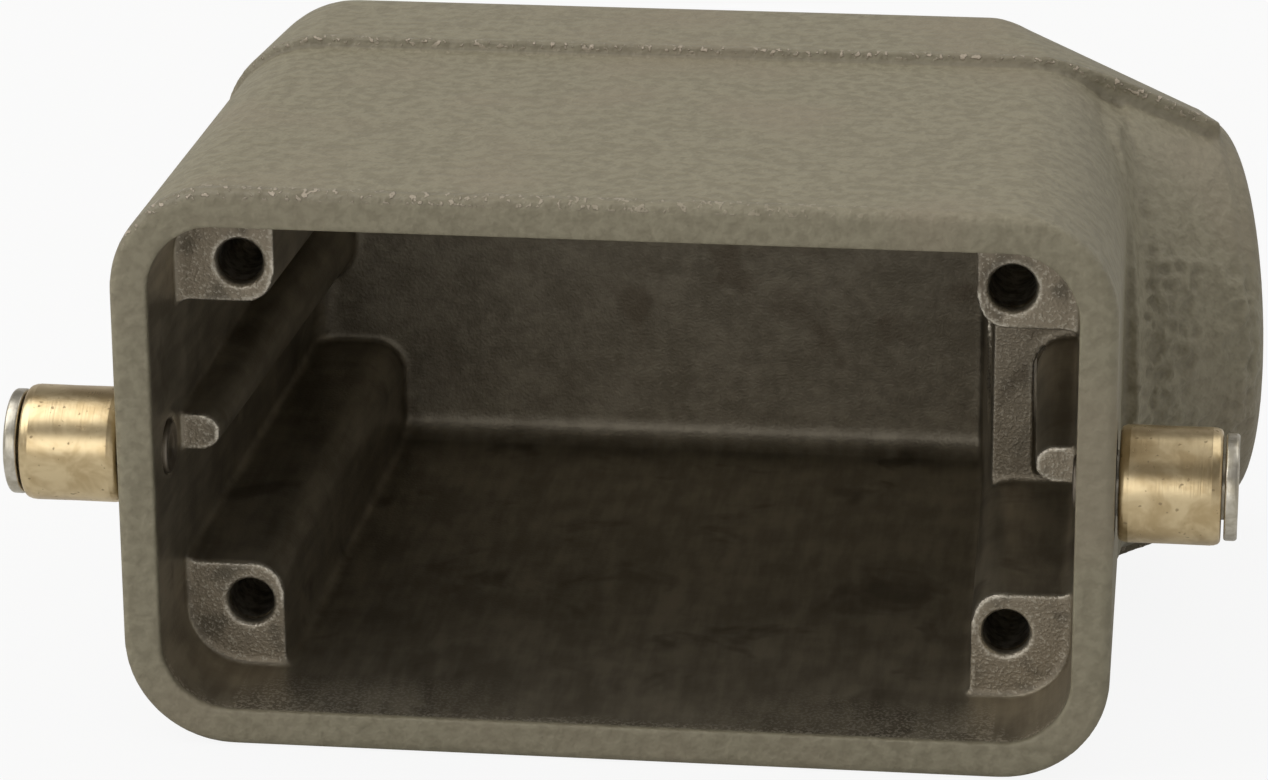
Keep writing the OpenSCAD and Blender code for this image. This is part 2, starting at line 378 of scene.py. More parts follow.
@dataclass(frozen=True)
class BrassFinish:
    """Turned brass sleeves, slightly tarnished."""

    bright: Colour = (0.76, 0.615, 0.375)
    dull: Colour = (0.56, 0.425, 0.235)
    spot: Colour = (0.26, 0.19, 0.11)

    def material(self) -> bpy.types.Material:
        """The sleeves' material."""
        s = Shader("turned_brass")
        rings = s.noise(0.16, 2.0, 0.6, stretch=(1.0, 0.02, 0.02))
        cloud = s.noise(2.6, 3.0, 0.6, warp=0.4)
        spots = s.noise(0.5, 1.0, 0.5, shift=4.0).step(0.68, 0.75)
        colour = s.mix(cloud.step(0.36, 0.64), self.dull, self.bright)
        colour = s.mix(spots * 0.6, colour, self.spot)
        roughness = 0.20 + 0.14 * cloud + 0.08 * rings + 0.2 * spots
        normal = s.bump(rings * 0.7 + cloud * 0.5, 0.022, 0.6)
        return s.finish(s.surface(Base_Color=colour, Roughness=roughness, Metallic=1.0, Normal=normal))


@dataclass(frozen=True)
class NickelFinish:
    """Plated steel pins, tarnished at their riveted inner ends."""

    bright: Colour = (0.70, 0.66, 0.57)
    dull: Colour = (0.47, 0.43, 0.34)
    tarnish: Colour = (0.17, 0.14, 0.11)
    wall_inside: float = 34.6

    def material(self) -> bpy.types.Material:
        """The pins' material."""
        s = Shader("plated_pin")
        cloud = s.noise(1.5, 3.0, 0.6, warp=0.5)
        rings = s.noise(0.14, 2.0, 0.6, stretch=(1.0, 0.05, 0.05), shift=2.0)
        inner = 1.0 - s.axis("X").absolute().step(self.wall_inside, self.wall_inside + 0.6)
        colour = s.mix(cloud.step(0.35, 0.65), self.dull, self.bright)
        colour = s.mix(inner * (0.6 + 0.4 * cloud), colour, self.tarnish)
        roughness = 0.24 + 0.16 * cloud + 0.06 * rings + 0.12 * inner
        normal = s.bump(rings * 0.6 + cloud * 0.6, 0.025, 0.6)
        return s.finish(s.surface(Base_Color=colour, Roughness=roughness, Metallic=1.0, Normal=normal))


@dataclass(frozen=True)
class ThreadFinish:
    """Freshly cut metal of the threads."""

    bright: Colour = (0.66, 0.62, 0.54)
    dull: Colour = (0.30, 0.26, 0.20)

    def material(self) -> bpy.types.Material:
        """The threads' material."""
        s = Shader("cut_thread")
        cloud = s.noise(0.9, 2.0, 0.6)
        colour = s.mix(cloud.step(0.35, 0.65), self.dull, self.bright)
        normal = s.bump(cloud, 0.03, 0.5)
        return s.finish(s.surface(Base_Color=colour, Roughness=0.24 + 0.2 * cloud, Metallic=0.95,
                                  Normal=normal))


@dataclass(frozen=True)
class FloorFinish:
    """Plain pale floor that the camera and mirrors see as nearly white."""

    pale: Colour = (0.62, 0.62, 0.615)
    whiteness: float = 0.90

    def material(self) -> bpy.types.Material:
        """The floor's material."""
        s = Shader("pale_floor")
        grain = s.noise(3.0, 1.0, 0.5)
        colour = s.mix(grain, self.pale, tuple(c + 0.02 for c in self.pale))
        paint = s.surface(Base_Color=colour, Roughness=0.9, Specular_IOR_Level=0.1)
        white = s.node("ShaderNodeEmission", {}, {"Color": (1.0, 1.0, 1.0, 1.0), "Strength": 1.0})
        seen = s.node("ShaderNodeLightPath", {}, {}, "Is Camera Ray")
        glossy = s.node("ShaderNodeLightPath", {}, {}, "Is Glossy Ray")
        through = s.node("ShaderNodeLightPath", {}, {}, "Is Transmission Ray")
        share = seen * self.whiteness + glossy.larger(through) * (self.whiteness * 0.14)
        return s.finish(s.node("ShaderNodeMixShader", {}, {0: share, 1: paint, 2: white}))


# ---------------------------------------------------------------- mesh helpers


def new_object(name: str, mesh: bpy.types.Mesh) -> bpy.types.Object:
    """Links a mesh to the scene at the origin.

    Args:
        name: The piece's name.
        mesh: Its mesh.

    Returns:
        The object.
    """
    piece = bpy.data.objects.new(name, mesh)
    bpy.context.scene.collection.objects.link(piece)
    return piece


def settle(piece: bpy.types.Object) -> bpy.types.Object:
    """Turns a piece with live modifiers into a plain mesh."""
    graph = bpy.context.evaluated_depsgraph_get()
    mesh = bpy.data.meshes.new_from_object(piece.evaluated_get(graph), depsgraph=graph)
    old = piece.data
    piece.modifiers.clear()
    piece.data = mesh
    if isinstance(old, bpy.types.Mesh) and old.users == 0:
        bpy.data.meshes.remove(old)
    return piece


def lathe(name: str, profile: Sequence[tuple[float, float]], origin: Vector, axis: Vector,
          segments: int = 96) -> bpy.types.Object:
    """Turns a closed profile round an axis.

    Args:
        name: The piece's name.
        profile: (along, radius) pairs in millimetres, in order; radius 0 closes an end.
        origin: A point on the axis, in metres.
        axis: Unit vector of the axis.
        segments: Steps round the axis.

    Returns:
        The turned piece.
    """
    side = axis.orthogonal().normalized()
    other = axis.cross(side).normalized()
    bm = bmesh.new()
    rings: list[list[Any]] = []
    for along, radius in profile:
        centre = origin + axis * (along * MM)
        if radius <= 1e-6:
            rings.append([bm.verts.new(centre)])
            continue
        turn = [2 * math.pi * k / segments for k in range(segments)]
        rings.append([bm.verts.new(centre + (side * math.cos(a) + other * math.sin(a)) * (radius * MM))
                      for a in turn])
    closed = rings[0] != rings[-1] and len(rings[0]) > 1 and len(rings[-1]) > 1
    pairs = list(zip(rings, rings[1:])) + ([(rings[-1], rings[0])] if closed else [])
    for low, high in pairs:
        for k in range(segments):
            n = (k + 1) % segments
            if len(low) == 1 and len(high) == 1:
                continue
            if len(low) == 1:
                bm.faces.new((low[0], high[k], high[n]))
            elif len(high) == 1:
                bm.faces.new((low[k], high[0], low[n]))
            else:
                bm.faces.new((low[k], high[k], high[n], low[n]))
    bmesh.ops.recalc_face_normals(bm, faces=bm.faces)
    mesh = bpy.data.meshes.new(name)
    bm.to_mesh(mesh)
    bm.free()
    for poly in mesh.polygons:
        poly.use_smooth = True
    mesh.set_sharp_from_angle(angle=math.radians(38))
    return new_object(name, mesh)


def hull(name: str, points: Sequence[Point]) -> bpy.types.Object:
    """Wraps points, given in millimetres, in a convex solid.

    Args:
        name: The piece's name.
        points: The points.

    Returns:
        The solid.
    """
    bm = bmesh.new()
    for point in points:
        bm.verts.new(Vector(point) * MM)
    result = bmesh.ops.convex_hull(bm, input=bm.verts)
    spare = {v for v in result["geom_interior"] + result["geom_unused"] if isinstance(v, bmesh.types.BMVert)}
    bmesh.ops.delete(bm, geom=list(spare), context="VERTS")
    bmesh.ops.recalc_face_normals(bm, faces=bm.faces)
    mesh = bpy.data.meshes.new(name)
    bm.to_mesh(mesh)
    bm.free()
    return new_object(name, mesh)


def box(name: str, x: Sequence[float], y: Sequence[float], z: Sequence[float]) -> bpy.types.Object:
    """A box between pairs of limits in millimetres."""
    return hull(name, [(a, b, c) for a in x for b in y for c in z])


def trim(piece: bpy.types.Object, operation: str, tool: bpy.types.Object) -> bpy.types.Object:
    """Joins, cuts or crops a piece with a tool that is then removed.

    Args:
        piece: The piece.
        operation: UNION, DIFFERENCE or INTERSECT.
        tool: The other solid.

    Returns:
        The piece.
    """
    step = piece.modifiers.new("trim", "BOOLEAN")
    step.operation, step.object, step.solver = operation, tool, "EXACT"
    settle(piece)
    bpy.data.objects.remove(tool, do_unlink=True)
    return piece


def arc(centre: tuple[float, float], radius: float, start: float, end: float,
        steps: int = 6) -> list[tuple[float, float]]:
    """Points of an arc in a profile.

    Args:
        centre: (along, radius) of its centre.
        radius: The arc's radius.
        start: First angle in degrees; 0 points along the axis.
        end: Last angle.
        steps: Number of steps.

    Returns:
        The points, both ends included.
    """
    turn = [math.radians(start + (end - start) * i / steps) for i in range(steps + 1)]
    return [(centre[0] + radius * math.cos(a), centre[1] + radius * math.sin(a)) for a in turn]


def rounded_rect(x: np.ndarray, z: np.ndarray, half_x: np.ndarray, half_z: np.ndarray,
                 radius: float) -> np.ndarray:
    """Signed distance to a rounded rectangle.

    Args:
        x: First coordinates.
        z: Second coordinates.
        half_x: Half length, one per point.
        half_z: Half width, one per point.
        radius: Corner radius.

    Returns:
        Distances, negative inside.
    """
    qx = np.abs(x) - half_x + radius
    qz = np.abs(z) - half_z + radius
    outside = np.hypot(np.maximum(qx, 0.0), np.maximum(qz, 0.0))
    return outside + np.minimum(np.maximum(qx, qz), 0.0) - radius


def smooth(low: float, high: float, value: np.ndarray) -> np.ndarray:
    """Smooth step from 0 at low to 1 at high."""
    t = np.clip((value - low) / (high - low), 0.0, 1.0)
    return t * t * (3.0 - 2.0 * t)


def lumps(points: np.ndarray, size: float, octaves: int = 2, seed: float = 0.0) -> np.ndarray:
    """Fractal noise at many points.

    Args:
        points: Positions in millimetres.
        size: Size of the largest lumps, in millimetres.
        octaves: Number of octaves.
        seed: Moves the pattern.

    Returns:
        Values of about -1 to 1.
    """
    shift = Vector((seed, seed * 1.7, -seed))
    return np.array([noise.fractal(Vector(p) / size + shift, 0.8, 2.0, octaves) for p in points.tolist()])


# ---------------------------------------------------------------- hood


def mount(name: str) -> dict[str, Any]:
    """One of the record's mounts by name."""
    return {m["name"]: m for m in frame["record"]["mounts"]}[name]


def entry_face() -> tuple[Vector, Vector]:
    """Centre of the cable entry's face in millimetres, and its outward axis."""
    entry = mount("cable_entry")
    axis = Vector(entry["axis"]).normalized()
    return Vector(entry["pos_m"]) / MM + axis * (entry["dims"]["length_mm"] / 2), axis


class Region(Enum):
    """Masks stored on the hood's skin."""

    BARE = "bare"
    EDGE = "edge"
    BOSS = "boss"
    BAND = "band"
    LIP = "lip"
    WALLS = "walls"
    LUMPY = "lumpy"
    HOLLOW = "hollow"


@dataclass
class Ledge:
    """The cap's ledge and the collar's shoulder under it, at their finished fullness."""

    step_y: float = 31.8
    roof_y: float = 49.2
    corner_x: float = 29.6
    corner_z: float = 19.65
    corner_r: float = 2.0
    side_x: float = 25.0
    side_z: float = 21.69
    roof_x: float = 24.0
    roof_z: float = 15.34
    roof_r: float = 6.0
    inside_x: float = 26.2
    inside_y: float = 47.4
    inside_z: float = 18.4
    ring_r: float = 16.0
    ring_s: float = 2.2
    ring_t: float = 0.6
    edge: tuple[tuple[float, float], ...] = ((34.2, 20.35), (36.0, 19.7), (37.8, 18.9), (42.9, 16.7))
    plan: tuple[tuple[float, float], ...] = (
        (31.0, 19.9), (33.7, 18.8), (36.0, 18.15), (38.0, 17.55), (52.0, 13.0))
    face_r: float = 15.25
    face_round: float = 2.2
    taper: float = 0.36
    bore_clear: float = 12.0
    shoulder_l: float = 9.4

    def cap(self) -> bpy.types.Object:
        """The end of the cap beyond the inside, down to its ring round the collar.

        Returns:
            A closed solid with the entry left clear.
        """
        centre, axis = entry_face()
        across = Vector((-axis.y, axis.x, 0.0))
        points: list[Point] = []
        for sign in (-1, 1):
            for i in range(13):
                a = math.radians(-30 + 15 * i)
                points.append((self.corner_x + self.corner_r * math.cos(a), self.step_y,
                               sign * (self.corner_z + self.corner_r * math.sin(a))))
            for i in range(7):
                for k in range(7):
                    a, b = math.radians(15 * i), math.radians(15 * k)
                    points.append((self.roof_x + self.roof_r * math.cos(a) * math.sin(b),
                                   self.roof_y - self.roof_r + self.roof_r * math.sin(a),
                                   sign * (self.roof_z + self.roof_r * math.cos(a) * math.cos(b))))
        points += [(x, y, s * z) for x, z in self.edge
                   for y in (self.step_y, self.step_y + 0.3) for s in (-1, 1)]
        points += [(self.side_x, self.step_y, s * self.side_z) for s in (-1, 1)]
        for depth in (self.ring_s, self.ring_s + self.ring_t):
            for i in range(360):
                a = math.radians(i)
                p = centre - axis * depth + across * (self.ring_r * math.cos(a)) \
                    + Vector((0, 0, self.ring_r * math.sin(a)))
                if self.step_y <= p.y <= self.roof_y:
                    points.append(tuple(p))
        solid = hull("ledge_cap", points)
        trim(solid, "INTERSECT", box("ledge_limits", (20.0, 60.0), (self.step_y, self.roof_y), (-30.0, 30.0)))
        trim(solid, "DIFFERENCE", box("ledge_inside", (10.0, self.inside_x), (20.0, self.inside_y),
                                      (-self.inside_z, self.inside_z)))
        bore = lathe("ledge_bore", [(-30, 0), (-30, self.bore_clear), (10, self.bore_clear), (10, 0)],
                     centre * MM, axis, 64)
        return trim(solid, "DIFFERENCE", bore)

    def shoulder(self) -> bpy.types.Object:
        """The collar's outer cone as a ring round the entry.

        Returns:
            A closed ring.
        """
        centre, axis = entry_face()
        r, c = self.face_r, self.face_round
        profile = [(-0.02, self.bore_clear), (-0.02, r - c)]
        profile += [(-c * (1 - math.cos(a)), r - c + c * math.sin(a) * (1 + self.taper * 0.3))
                    for a in (math.radians(15 * i) for i in range(1, 6))]
        for s in (c, 4.0, 6.0, 7.6, self.shoulder_l):
            profile.append((-s, r + self.taper * s))
        profile.append((-self.shoulder_l, self.bore_clear))
        ring = lathe("collar_shoulder", profile, centre * MM, axis, 160)
        limits = [(x, y, s * z) for x, z in self.plan for y in (4.0, self.roof_y) for s in (-1, 1)]
        return trim(ring, "INTERSECT", hull("shoulder_limits", limits))


@dataclass
class CastHood:
    """The casting, with soft cast edges, a rough collar and stored masks."""

    mouth: float = -8.4
    core_l: float = 33.7
    core_w: float = 18.9
    core_draft: float = 0.033
    core_r: float = 5.2
    floor: float = 46.6
    block: float = 21.6
    voxel: float = 0.27
    triangles: int = 190000
    bumps: float = 0.42
    screw_cut: tuple[tuple[float, float], ...] = (
        (-0.6, 0), (-0.6, 1.92), (0.0, 1.92), (0.2, 1.75), (0.9, 1.72), (1.2, 2.02), (12.6, 2.02), (12.6, 0))
    entry_cut: tuple[tuple[float, float], ...] = (
        (-10.9, 0), (-10.9, 10.02), (-0.4, 10.02), (0.0, 10.5), (1.5, 10.5), (1.5, 0))
    ledge: Ledge = field(default_factory=Ledge)
    finish: HoodFinish = field(default_factory=HoodFinish)

    def _cutters(self) -> list[bpy.types.Object]:
        """Cylinders that open the cast holes to the threads' full size."""
        tools = []
        pattern = mount("insert_screws")["dims"]
        dx, dz = pattern["spacing_x_mm"] / 2, pattern["spacing_y_mm"] / 2
        for sx in (-1, 1):
            for sz in (-1, 1):
                start = Vector((sx * dx * MM, 0.0, sz * dz * MM))
                tools.append(lathe("cut_screw", self.screw_cut, start, Vector((0, 1, 0)), 48))
        centre, axis = entry_face()
        tools.append(lathe("cut_entry", self.entry_cut, centre * MM, axis, 96))
        return tools

    def build(self) -> bpy.types.Object:
        """Builds the skin from the casting's own shape.

        Returns:
            The skin, dressed and riding on its body.
        """
        source = frame["nodes"]["hood"]
        mesh = source.data.copy()
        bm = bmesh.new()
        bm.from_mesh(mesh)
        bmesh.ops.remove_doubles(bm, verts=bm.verts, dist=2e-6)
        bm.to_mesh(mesh)
        bm.free()
        skin = new_object("hood_skin", mesh)
        mesh.materials.clear()
        trim(skin, "UNION", self.ledge.shoulder())
        trim(skin, "UNION", self.ledge.cap())
        for tool in self._cutters():
            trim(skin, "DIFFERENCE", tool)
        remesh = skin.modifiers.new("remesh", "REMESH")
        remesh.mode, remesh.voxel_size, remesh.use_smooth_shade = "VOXEL", self.voxel * MM, True
        settle(skin)
        self._soften(skin.data)
        thin = skin.modifiers.new("thin", "DECIMATE")
        count = sum(len(p.vertices) - 2 for p in skin.data.polygons)
        thin.ratio = min(1.0, self.triangles / count)
        settle(skin)
        place, _, edges = self._arrays(skin.data)
        x, y, z = place.T
        self._fair(place, edges, 2, smooth(2.6, 1.6, np.abs(y - self.ledge.step_y)) * smooth(28.0, 29.0, x)
                   * smooth(12.0, 14.0, np.abs(z)))
        skin.data.vertices.foreach_set("co", (place * MM).ravel())
        for poly in skin.data.polygons:
            poly.use_smooth = True
        self._masks(skin.data)
        skin.data.materials.clear()
        skin.data.materials.append(self.finish.material())
        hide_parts("hood")
        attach(skin, "housing")
        log.info("hood_skin: %d triangles", len(skin.data.polygons))
        return skin

    @staticmethod
    def _arrays(mesh: bpy.types.Mesh) -> tuple[np.ndarray, np.ndarray, np.ndarray]:
        """Positions in millimetres, unit normals and edges of a mesh."""
        n = len(mesh.vertices)
        place = np.empty(n * 3)
        mesh.vertices.foreach_get("co", place)
        normal = np.empty(n * 3)
        mesh.vertices.foreach_get("normal", normal)
        edges = np.empty(len(mesh.edges) * 2, dtype=np.int64)
        mesh.edges.foreach_get("vertices", edges)
        return place.reshape(-1, 3) / MM, normal.reshape(-1, 3), edges.reshape(-1, 2)

    @staticmethod
    def _mean(values: np.ndarray, edges: np.ndarray) -> np.ndarray:
        """Mean of each vertex's neighbours."""
        flat = values.reshape(len(values), -1)
        ends = np.concatenate([edges[:, 0], edges[:, 1]])
        others = np.concatenate([edges[:, 1], edges[:, 0]])
        count = np.maximum(np.bincount(ends, minlength=len(flat)), 1)
        total = np.stack([np.bincount(ends, weights=flat[others, k], minlength=len(flat))
                          for k in range(flat.shape[1])], axis=1)
        return (total / count[:, None]).reshape(values.shape)

    def _entry_offsets(self, place: np.ndarray) -> tuple[np.ndarray, np.ndarray]:
        """Distance along the entry's axis from its face, and from that axis."""
        centre, direction = entry_face()
        axis = np.array(direction)
        offset = place - np.array(centre)
        along = offset @ axis
        return along, np.linalg.norm(offset - along[:, None] * axis, axis=1)

    def _lumpy(self, place: np.ndarray, normal: np.ndarray) -> np.ndarray:
        """How lumpy the casting is at each point of the collar's mouth side."""
        x, y, z = place.T
        along, radius = self._entry_offsets(place)
        on_collar = smooth(36.4, 38.0, x) * smooth(31.7, 30.9, y) * smooth(11.0, 12.5, radius) \
            * smooth(-0.2, -1.6, along)
        facing = smooth(0.05, 0.4, -normal[:, 1])
        patch = smooth(11.0, 8.0, z + 0.5 * (x - 41.0)) * smooth(-6.5, -3.5, z)
        return on_collar * facing * patch

    def _fair(self, place: np.ndarray, edges: np.ndarray, passes: int, share: np.ndarray) -> None:
        """Evens out a surface without shrinking it.

        Args:
            place: Positions, changed in place.
            edges: The mesh's edges.
            passes: How often.
            share: How much each point takes part.
        """
        for _ in range(passes):
            for step in (0.5, -0.51):
                place += step * share[:, None] * (self._mean(place, edges) - place)

    def _soften(self, mesh: bpy.types.Mesh) -> None:
        """Rounds the edges as casting and coating do, and raises the collar's lumps."""
        place, normal, edges = self._arrays(mesh)
        self._fair(place, edges, 4, np.ones(len(place)))
        place += 0.5 * (self._mean(place, edges) - place)
        x, y, _ = place.T
        self._fair(place, edges, 12, smooth(2.6, 1.6, np.abs(y - self.ledge.step_y)) * smooth(27.0, 28.5, x))
        rough = self._lumpy(place, normal)
        some = rough > 0.01
        coarse = 1.0 - 2.2 * np.abs(lumps(place[some], 1.9, 2, 3.0))
        fine = lumps(place[some], 0.9, 1, 11.0)
        where = smooth(-0.45, 0.15, lumps(place[some], 4.5, 1, 21.0))
        shape = np.zeros(len(place))
        shape[some] = self.bumps * rough[some] * where * (np.clip(coarse, -0.3, 1.0) * 0.8 + 0.25 * fine)
        place += normal * shape[:, None]
        low, high = (np.array(c) / MM for c in CAD_BOX)
        place = np.clip(place, low, high)
        mesh.vertices.foreach_set("co", (place * MM).ravel())
        mesh.update()

    def _inner(self, place: np.ndarray) -> np.ndarray:
        """Distance from the wall of the inside, negative within it."""
        x, y, z = place.T
        depth = y - self.mouth
        return rounded_rect(x, z, self.core_l - self.core_draft * depth, self.core_w - self.core_draft * depth,
                            self.core_r)

    def _bare(self, place: np.ndarray) -> np.ndarray:
        """Where the metal is bare: inside the mouth and in the cable entry."""
        depth = place[:, 1] - self.mouth
        inner = self._inner(place)
        inside = smooth(0.5, 0.25, inner) * smooth(0.25, 0.75, depth) \
            * smooth(self.floor + 1.0, self.floor + 0.5, place[:, 1])
        along, radius = self._entry_offsets(place)
        bore = smooth(10.9, 10.4, radius) * smooth(0.1, -0.3, along) * smooth(-24.0, -20.0, along)
        return np.maximum(inside, bore)

    def _masks(self, mesh: bpy.types.Mesh) -> None:
        """Stores the masks that the finish reads."""
        place, normal, edges = self._arrays(mesh)
        x, y, z = place.T
        span = np.linalg.norm(place[edges[:, 0]] - place[edges[:, 1]], axis=1)
        turn = np.einsum("ij,ij->i", normal[edges[:, 0]] - normal[edges[:, 1]],
                         place[edges[:, 0]] - place[edges[:, 1]]) / np.maximum(span, 1e-6) ** 2
        ends = edges.ravel()
        bend = np.bincount(ends, weights=np.repeat(turn, 2), minlength=len(place))
        bend /= np.maximum(np.bincount(ends, minlength=len(place)), 1)
        inner = self._inner(place)
        bare = self._bare(place)
        outside = 1.0 - bare
        front = smooth(0.6, 0.9, -normal[:, 1])
        boss = front * smooth(0.45, 0.2, np.abs(y)) * smooth(0.4, 0.0, inner)
        plate = front * smooth(0.45, 0.2, np.abs(y - self.block)) * smooth(0.4, 0.0, inner)
        rim = smooth(1.6, 1.0, y - self.mouth) * smooth(0.15, 0.45, normal[:, 2]) * smooth(1.2, 2.0, inner) \
            * smooth(28.0, 24.0, x) * smooth(14.0, 16.0, z)
        ledge = smooth(1.0, 0.35, np.abs(y - self.ledge.step_y + 0.1)) * smooth(16.5, 17.5, np.abs(z)) * outside
        ledge *= smooth(-36.5, -35.0, x)
        # Groove at the ledge's foot, which gets painted shade.
        foot = smooth(0.9, 0.3, np.abs(y - self.ledge.step_y + 0.55)) * smooth(15.0, 16.0, np.abs(z)) * outside
        values = {
            Region.BARE: bare,
            Region.EDGE: smooth(0.35, 1.3, bend) * bare,
            Region.BOSS: np.maximum(boss, 0.6 * plate),
            # The rim's top edge and the ledge's edge: painted highlight specks and painted shade.
            Region.BAND: np.maximum(rim, ledge * smooth(-0.2, 0.3, bend + 0.1)),
            Region.LIP: smooth(0.55, 0.25, np.abs(y - self.mouth - 0.6)) * smooth(-14.0, -16.0, z) * bare,
            # Inside faces that don't face the mouth, painted lighter than the faces toward it.
            Region.WALLS: (1.0 - front) * bare,
            Region.LUMPY: self._lumpy(place, normal),
            # Painted shade in the coat's concave creases and in the groove under the ledge.
            Region.HOLLOW: np.maximum(foot * smooth(0.0, -0.5, bend), 0.5 * smooth(-0.3, -1.0, bend) * outside),
        }
        for region, value in values.items():
            layer = mesh.attributes.new(region.value, "FLOAT", "POINT")
            layer.data.foreach_set("value", value.astype(np.float32))
            log.info("  mask %s: mean %.3f, top %.2f", region.value, value.mean(), value.max())


# ---------------------------------------------------------------- threads


@dataclass
class CutThreads:
    """Helical ridges in the four insert holes and in the cable entry."""

    screw_pitch: float = 0.7
    screw_major: float = 4.06
    entry_pitch: float = 1.5
    entry_major: float = 20.06
    screw_start: float = 1.0
    screw_length: float = 11.2
    entry_start: float = 10.7
    entry_length: float = 9.6
    finish: ThreadFinish = field(default_factory=ThreadFinish)

    @staticmethod
    def _tree(name: str, material: bpy.types.Material) -> Any:
        """Node tree that sweeps a ridge along a helix at each given place.

        Args:
            name: The tree's name.
            material: The ridge's material.

        Returns:
            The tree.
        """
        group = bpy.data.node_groups.new(name, "GeometryNodeTree")
        group.interface.new_socket("Geometry", in_out="INPUT", socket_type="NodeSocketGeometry")
        for label, value in (("Radius", 0.002), ("Length", 0.012), ("Turns", 17.0), ("Height", 0.0003),
                             ("Foot", 0.0006)):
            item = group.interface.new_socket(label, in_out="INPUT", socket_type="NodeSocketFloat")
            item.default_value = value
        group.interface.new_socket("Geometry", in_out="OUTPUT", socket_type="NodeSocketGeometry")
        g = NodeTree(group)
        helix = g.node("GeometryNodeCurveSpiral", {}, {
            "Resolution": 40, "Rotations": g.node("NodeGroupInput", {}, {}, "Turns"),
            "Start Radius": g.node("NodeGroupInput", {}, {}, "Radius"),
            "End Radius": g.node("NodeGroupInput", {}, {}, "Radius"),
            "Height": g.node("NodeGroupInput", {}, {}, "Length")})
        upright = g.node("GeometryNodeSetCurveNormal", {"mode": "Z_UP"}, {"Curve": helix})
        foot = g.node("NodeGroupInput", {}, {}, "Foot")
        ridge = g.node("GeometryNodeCurvePrimitiveQuadrilateral", {"mode": "TRAPEZOID"}, {
            "Bottom Width": foot, "Top Width": foot * 0.22, "Offset": 0.0,
            "Height": g.node("NodeGroupInput", {}, {}, "Height")})
        turned = g.node("GeometryNodeTransform", {}, {"Geometry": ridge, "Rotation": (0.0, 0.0, math.pi / 2)})
        swept = g.node("GeometryNodeCurveToMesh", {},
                       {"Curve": upright, "Profile Curve": turned, "Fill Caps": True})
        toward = g.node("GeometryNodeInputNamedAttribute", {"data_type": "FLOAT_VECTOR"}, {"Name": "toward"})
        aimed = g.node("FunctionNodeAlignRotationToVector", {"axis": "Z"}, {"Vector": toward})
        copies = g.node("GeometryNodeInstanceOnPoints", {}, {
            "Points": g.node("NodeGroupInput", {}, {}, "Geometry"), "Instance": swept, "Rotation": aimed})
        real = g.node("GeometryNodeRealizeInstances", {}, {"Geometry": copies})
        dressed = g.node("GeometryNodeSetMaterial", {}, {"Geometry": real, "Material": material})
        g.node("NodeGroupOutput", {}, {"Geometry": dressed})
        return group

    def _make(self, name: str, places: Sequence[Point], toward: Point, sizes: dict[str, float],
              material: bpy.types.Material) -> bpy.types.Object:
        """Makes one set of threads.

        Args:
            name: The piece's name.
            places: Where each helix starts, in metres.
            toward: The way it runs.
            sizes: The tree's named inputs, in metres.
            material: Its material.

        Returns:
            The threads as one plain mesh.
        """
        mesh = bpy.data.meshes.new(name)
        mesh.from_pydata([tuple(p) for p in places], [], [])
        layer = mesh.attributes.new("toward", "FLOAT_VECTOR", "POINT")
        layer.data.foreach_set("vector", [v for _ in places for v in toward])
        piece = new_object(name, mesh)
        tree = self._tree(name + "_tree", material)
        modifier = piece.modifiers.new("threads", "NODES")
        modifier.node_group = tree
        for item in tree.interface.items_tree:
            if item.in_out == "INPUT" and item.name in sizes:
                modifier[item.identifier] = sizes[item.name]
        settle(piece)
        for poly in piece.data.polygons:
            poly.use_smooth = False
        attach(piece, "housing")
        log.info("%s: %d faces", name, len(piece.data.polygons))
        return piece

    def build(self) -> list[bpy.types.Object]:
        """Builds both sets of threads.

        Returns:
            The thread pieces.
        """
        material = self.finish.material()
        pattern = mount("insert_screws")["dims"]
        dx, dz = pattern["spacing_x_mm"] / 2 * MM, pattern["spacing_y_mm"] / 2 * MM
        places = [(sx * dx, self.screw_start * MM, sz * dz) for sx in (-1, 1) for sz in (-1, 1)]
        length = self.screw_length
        screws = self._make("insert_threads", places, (0.0, 1.0, 0.0),
                            {"Radius": (self.screw_major / 2 - 0.14) * MM, "Length": length * MM,
                             "Turns": length / self.screw_pitch, "Height": 0.34 * MM,
                             "Foot": 0.62 * MM}, material)
        centre, axis = entry_face()
        start = (centre - axis * self.entry_start) * MM
        length = self.entry_length
        gland = self._make("entry_thread", [tuple(start)], tuple(axis),
                           {"Radius": (self.entry_major / 2 - 0.38) * MM, "Length": length * MM,
                            "Turns": length / self.entry_pitch, "Height": 0.8 * MM, "Foot": 1.3 * MM}, material)
        return [screws, gland]


# ---------------------------------------------------------------- pegs


class Side(Enum):
    """The hood's two short ends."""

    LEFT = -1
    RIGHT = 1


